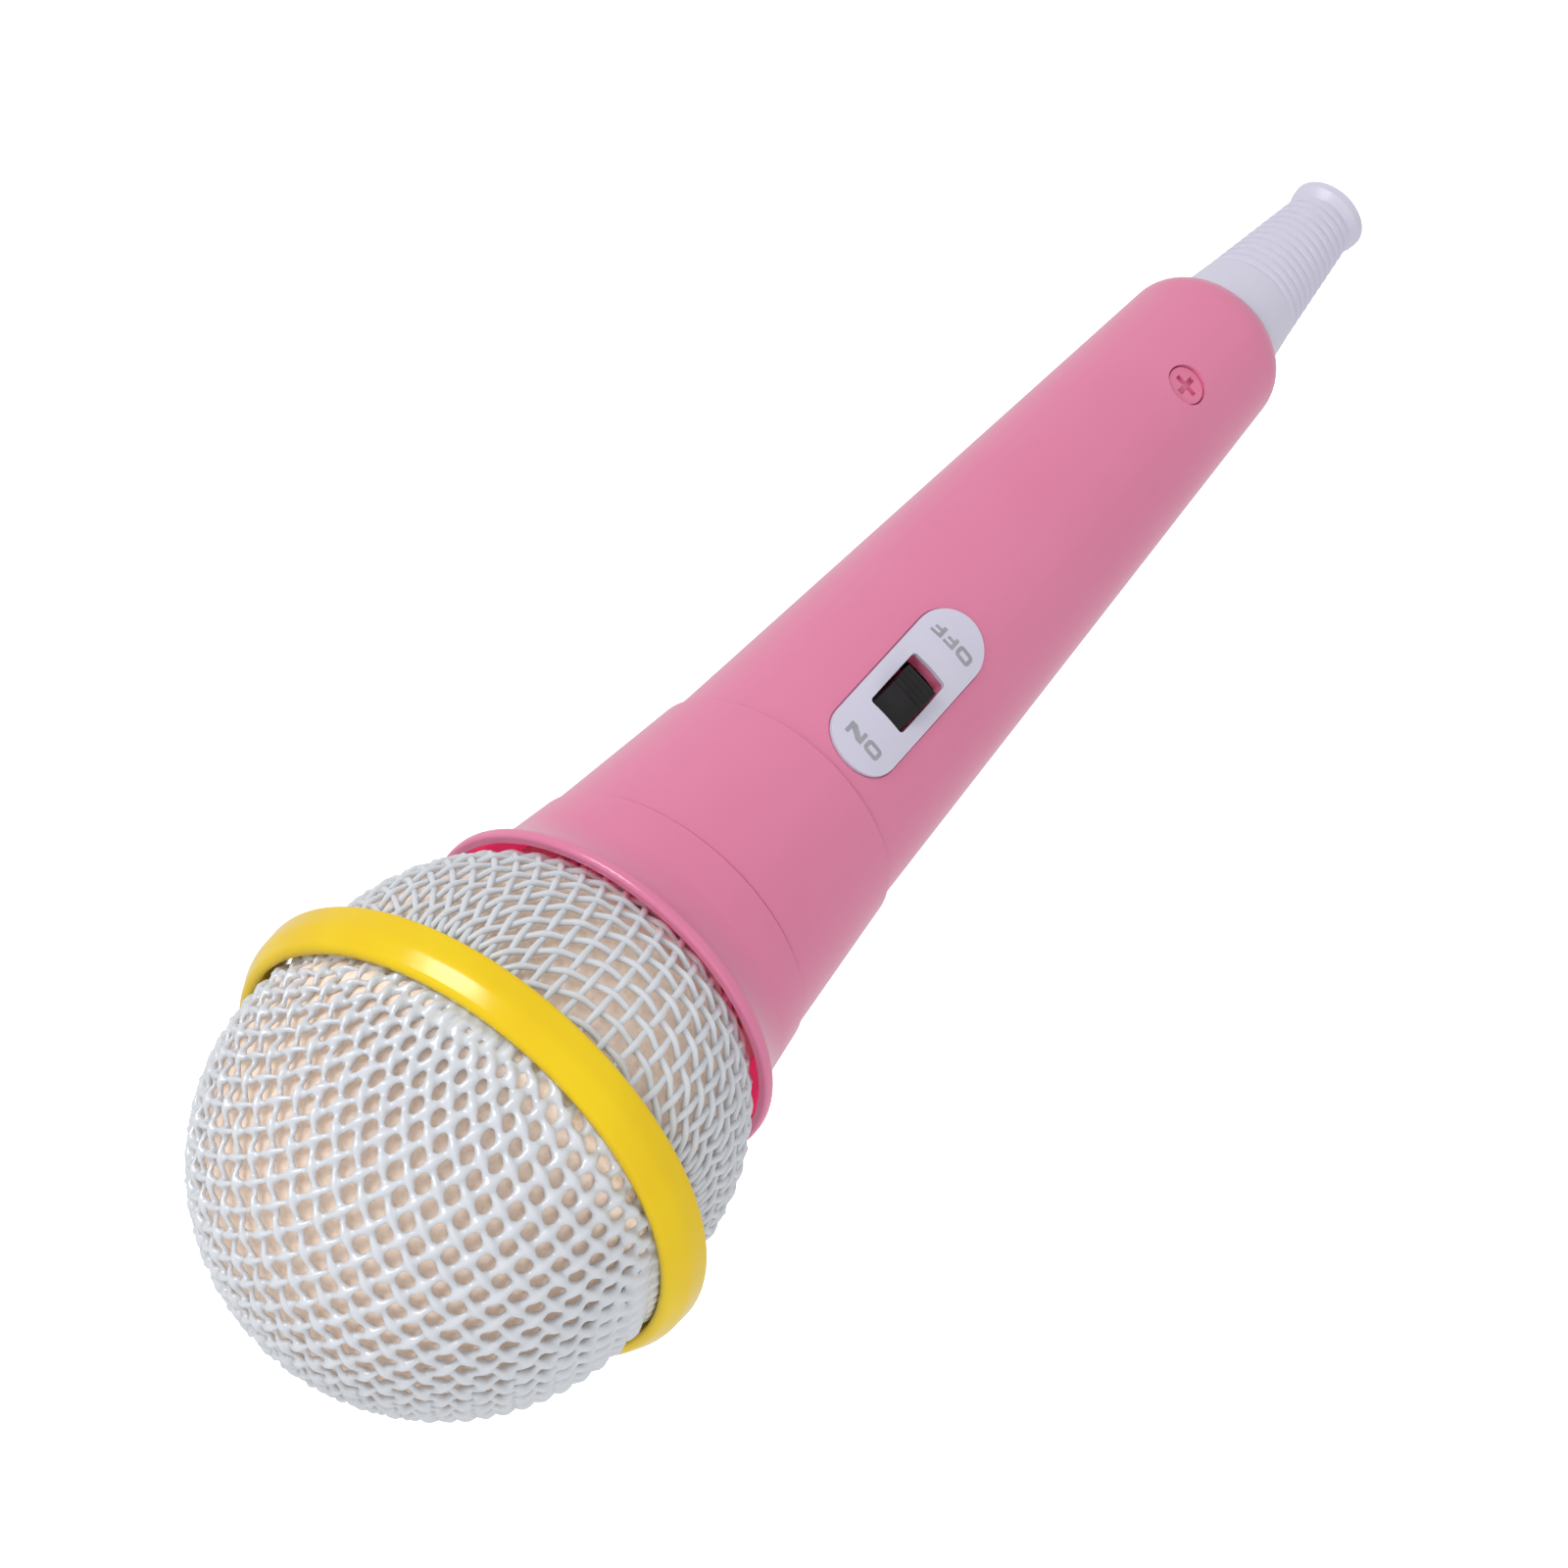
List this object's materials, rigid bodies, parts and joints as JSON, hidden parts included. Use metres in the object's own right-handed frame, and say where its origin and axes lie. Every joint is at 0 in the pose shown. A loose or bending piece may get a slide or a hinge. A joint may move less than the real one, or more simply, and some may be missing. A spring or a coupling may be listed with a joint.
{
  "type": "toy microphone",
  "caption": "Hand-held toy microphone: woven mesh ball with a yellow band, flared pink collar, long tapered pink handle with an ON/OFF slide switch, and a ribbed white tail.",
  "frame": {"origin": "centre of the tail's flat end", "axes": "+Z along the microphone's axis from the tail to the mesh ball; the switch plate and the tail screw face -Y; +X completes the frame"},
  "size_m": [0.0566, 0.0566, 0.2002],
  "materials": {
    "mesh_paint": "satin",
    "yellow_plastic": "gloss",
    "inner_plastic": "matt",
    "foam": "open-cell foam",
    "bright_steel": "satin",
    "speaker_paper": "matt",
    "ferrite": "matt",
    "black_rubber": "matt",
    "pink_plastic": "gloss",
    "white_plastic": "satin",
    "black_plastic": "satin",
    "board_laminate": "satin",
    "capacitor_can": "satin",
    "cell_jacket": "satin",
    "wire_cover": "satin",
    "pink_screw": "satin"
  },
  "bodies": {
    "microphone": {"grille_dome": "mesh_paint", "grille_basket": "mesh_paint", "grille_ring": "yellow_plastic", "ring_clamp_band": "inner_plastic", "foam_liner": "foam", "speaker_cup": "inner_plastic", "speaker_frame": "bright_steel", "speaker_cone": "speaker_paper", "speaker_magnet": "ferrite", "capsule_bridge": "inner_plastic", "capsule_holder": "black_rubber", "mic_capsule": "bright_steel", "basket_ferrule": "inner_plastic", "collar": "pink_plastic", "neck_sleeve": "pink_plastic", "handle_shell": "pink_plastic", "switch_plate": "white_plastic", "switch_housing": "bright_steel", "circuit_board": "board_laminate", "amplifier_chip": "black_plastic", "filter_capacitor": "capacitor_can", "board_screws": "bright_steel", "battery_tube": "inner_plastic", "battery_lower": "cell_jacket", "battery_upper": "cell_jacket", "top_contact": "bright_steel", "battery_spring": "bright_steel", "spring_contact": "bright_steel", "battery_wires": "wire_cover", "speaker_wires": "wire_cover", "capsule_wires": "wire_cover", "tail_boot": "white_plastic", "tail_screw": "pink_screw"},
    "slider": {"switch_knob": "black_plastic", "switch_lever": "black_plastic"}
  },
  "joints": [
    {"name": "switch_slide", "type": "slide", "parent": "microphone", "child": "slider", "axis": [0, 0.0607, -0.9982], "range_m": [0, 0.0023]}
  ]
}
